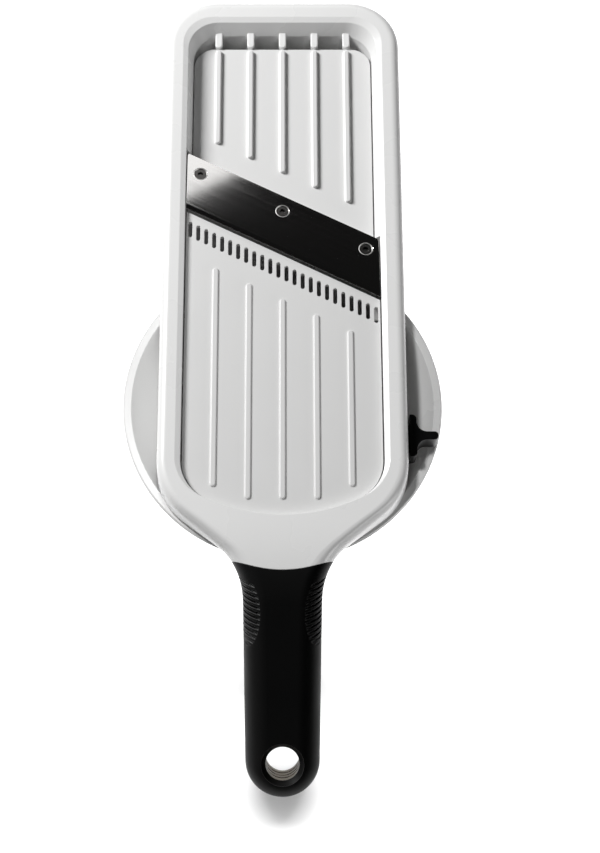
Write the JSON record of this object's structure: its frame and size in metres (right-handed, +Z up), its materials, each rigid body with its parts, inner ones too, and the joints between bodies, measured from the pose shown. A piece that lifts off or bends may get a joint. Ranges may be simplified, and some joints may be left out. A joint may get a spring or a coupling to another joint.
{
  "type": "mandoline slicer",
  "caption": "Hand-held mandoline slicer with a diagonal blade, a slotted feeding table that lifts to set slice thickness, a drooping soft grip and its round food holder stored below.",
  "frame": {"origin": "middle of the flat face under the food holder's knob, which the stored set stands on", "axes": "+X to the slider's side, +Y from the handle to the far end along the feeding direction, +Z up out of the slicing face"},
  "size_m": [0.155, 0.3975, 0.061],
  "materials": {
    "white_plastic": "polished white moulding",
    "black_soft": "satin black soft moulding",
    "black_plastic": "satin black",
    "blade_steel": "brushed along its length",
    "screw_steel": "plain stainless",
    "sleeve_steel": "turned, dark",
    "insert_brass": "plain",
    "slider_plastic": "plain natural",
    "holder_white": "polished white moulding"
  },
  "bodies": {
    "food_holder": {"holder_guard": "holder_white", "prong_plate": "holder_white", "prongs": "screw_steel", "prong_screws": "screw_steel", "knob_core": "holder_white", "knob_cap": "black_soft", "knob_screw": "screw_steel"},
    "slicer": {"frame": "white_plastic", "grip": "black_soft", "hang_sleeve": "sleeve_steel", "blade_deck": "white_plastic", "deck_screws": "screw_steel", "blade": "blade_steel", "blade_screws": "screw_steel", "blade_inserts": "insert_brass", "left_rail_cover": "white_plastic", "right_rail_cover": "white_plastic", "cover_screws": "screw_steel", "far_foot": "black_soft"},
    "thickness_slider": {"slider_tab": "black_plastic", "right_cam_bar": "slider_plastic", "left_cam_bar": "slider_plastic", "cam_link": "slider_plastic", "link_screws": "screw_steel", "detent_spring": "blade_steel"},
    "table": {"feed_table": "white_plastic", "lift_pins": "screw_steel"}
  },
  "joints": [
    {"name": "lift_off", "type": "slide", "parent": "food_holder", "child": "slicer", "axis": [0, 0, 1], "range_m": [0, 0.06]},
    {"name": "thickness_slide", "type": "slide", "parent": "slicer", "child": "thickness_slider", "axis": [0, 1, 0], "range_m": [0, 0.0318]},
    {"name": "table_lift", "type": "slide", "parent": "slicer", "child": "table", "axis": [0, 0, 1], "range_m": [-0.003, 0]}
  ],
  "couplings": [
    {"joint": "table_lift", "follows": "thickness_slide", "ratio": -0.09434}
  ]
}
